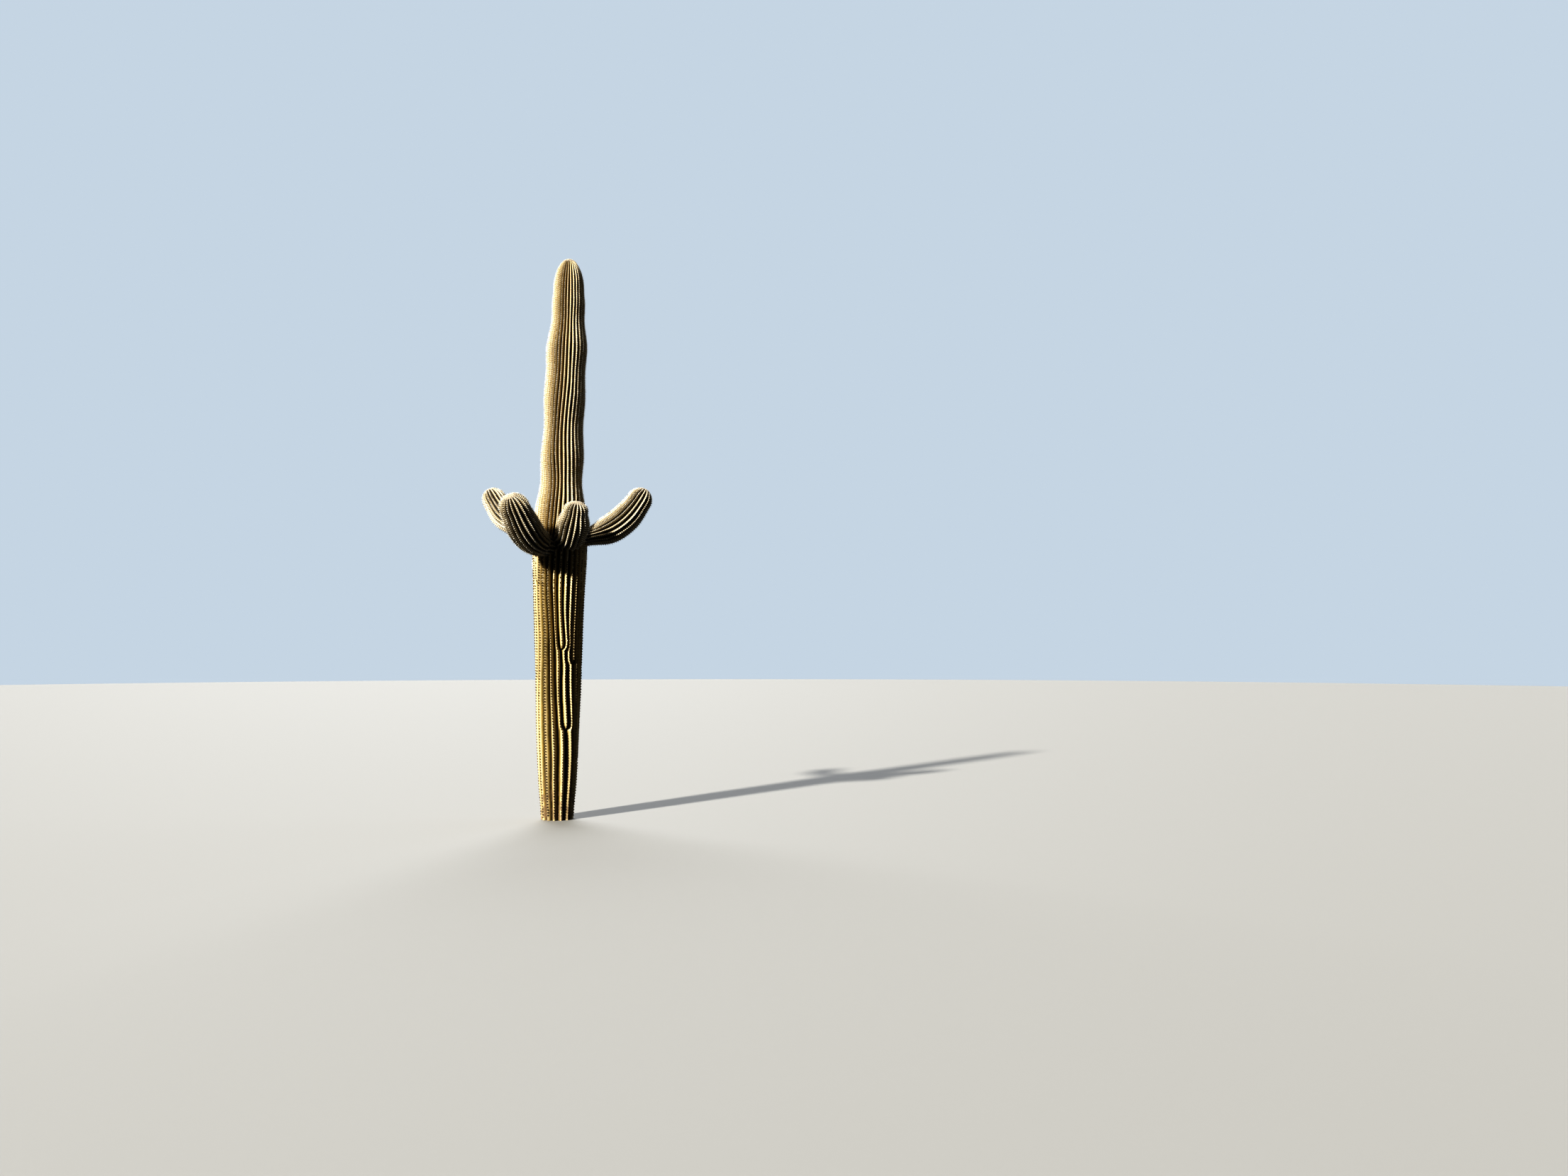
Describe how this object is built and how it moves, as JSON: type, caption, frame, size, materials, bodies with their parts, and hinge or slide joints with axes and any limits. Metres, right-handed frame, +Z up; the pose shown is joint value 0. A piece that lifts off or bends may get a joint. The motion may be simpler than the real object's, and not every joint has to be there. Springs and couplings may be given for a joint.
{
  "type": "saguaro cactus",
  "caption": "Tall ribbed columnar cactus rooted in the ground, with a whorl of short upturned arms at mid height.",
  "frame": {"origin": "middle of the flat cut under the trunk, at ground level", "axes": "+Z up the trunk; -Y is the side that the picture shows, with +X to its right"},
  "size_m": [1.734, 1.2024, 5.6],
  "materials": {
    "trunk_flesh": "waxy yellow-olive skin on upright ribs, greyer and corky near the ground",
    "arm_flesh": "waxy grey-green skin on close ribs",
    "spines": "dull straw and ash-grey needles, cream near the tips of the limbs",
    "wool": "matt pale felt at the growing tips and under each cluster of spines"
  },
  "bodies": {
    "root": {"trunk": "trunk_flesh", "arm_right": "arm_flesh", "arm_front": "arm_flesh", "arm_front_left": "arm_flesh", "arm_back_left": "arm_flesh"}
  },
  "joints": []
}
